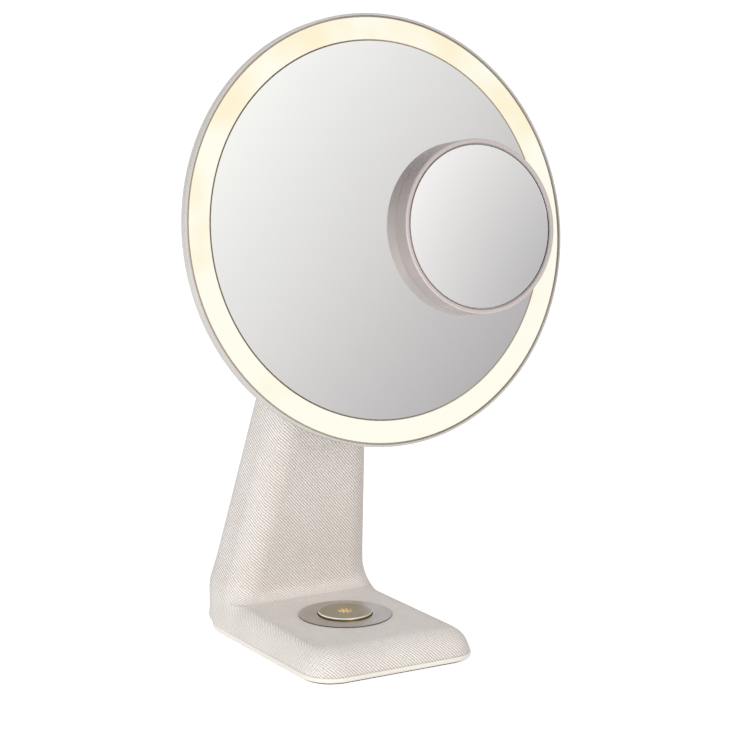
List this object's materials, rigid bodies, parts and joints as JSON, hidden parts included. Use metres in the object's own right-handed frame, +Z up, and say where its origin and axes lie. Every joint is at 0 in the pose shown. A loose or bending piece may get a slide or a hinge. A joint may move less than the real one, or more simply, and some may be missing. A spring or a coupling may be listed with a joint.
{
  "type": "lighted mirror",
  "caption": "Round tilting mirror with a lit ring and a lift-off magnifier, on a fabric-covered leaning stand with a push button in its foot.",
  "frame": {"origin": "middle of the foot, on the table", "axes": "+Z up, -Y towards the person in front of the mirror, +X to the right seen from the front"},
  "size_m": [0.2492, 0.1647, 0.3815],
  "materials": {
    "stand_fabric": "woven diagonal rib, warm cream",
    "rim_plastic": "satin cream",
    "bezel": "satin greige",
    "shell_plastic": "plain moulded",
    "soft_foot": "matte",
    "nickel": "spun brushed nickel",
    "steel": "plain steel",
    "hinge_metal": "satin dark grey",
    "ballast": "rough cast",
    "housing_metal": "fine satin",
    "mirror": "polished silvered glass",
    "diffuser": "frosted, lit from behind",
    "light_window": "clear amber, lit from behind",
    "white_plastic": "white reflective",
    "board": "solder mask",
    "led": "phosphor",
    "dark_plastic": "fine moulded",
    "battery": "shrink sleeve",
    "lead": "matte",
    "tape": "foam",
    "soft_pad": "soft"
  },
  "bodies": {
    "stand": {"foot_pad": "soft_foot", "base_tray": "rim_plastic", "tray_screws": "steel", "ballast_plate": "ballast", "battery_pack": "battery", "control_board": "board", "board_spacers": "dark_plastic", "board_screws": "steel", "tact_switch": "dark_plastic", "charge_board": "board", "usb_socket": "steel", "port_bezel": "bezel", "front_shell": "shell_plastic", "rear_shell": "shell_plastic", "fabric_cover": "stand_fabric", "column_cap": "bezel", "column_spine": "hinge_metal", "spine_screws": "steel", "hinge_yoke": "hinge_metal", "yoke_screws": "steel", "hinge_pin": "steel", "friction_washers": "dark_plastic", "spring_washer": "steel", "pin_nut": "steel", "lead_plug": "white_plastic", "column_lead": "lead", "button_plate": "nickel", "plate_nuts": "steel", "button_housing": "dark_plastic"},
    "button": {"button_cap": "nickel", "button_icon": "light_window", "button_carrier": "white_plastic", "switch_plunger": "dark_plastic", "return_spring": "steel"},
    "head": {"head_frame": "bezel", "diffuser_ring": "diffuser", "mirror_glass": "mirror", "mirror_tape": "tape", "mirror_carrier": "white_plastic", "keeper_disc": "steel", "led_board": "white_plastic", "led_chips": "led", "head_lead": "lead", "back_cover": "bezel", "cover_screws": "steel", "bracket_backing": "steel", "head_bracket": "hinge_metal", "bracket_screws": "steel"},
    "magnifier": {"magnifier_housing": "housing_metal", "magnifier_glass": "mirror", "magnifier_magnets": "steel", "magnifier_pad": "soft_pad"}
  },
  "joints": [
    {"name": "head_tilt", "type": "hinge", "parent": "stand", "child": "head", "pos_m": [0, -0.02448, 0.25364], "axis": [1, 0, 0], "range_deg": [-20, 20]},
    {"name": "button_press", "type": "slide", "parent": "stand", "child": "button", "axis": [0, 0, -1], "range_m": [0, 0.0008], "stiffness_N_per_m": 2500, "deforming": ["return_spring"]},
    {"name": "magnifier_lift", "type": "slide", "parent": "head", "child": "magnifier", "axis": [0, -0.9839, 0.1788], "range_m": [0, 0.06]}
  ]
}
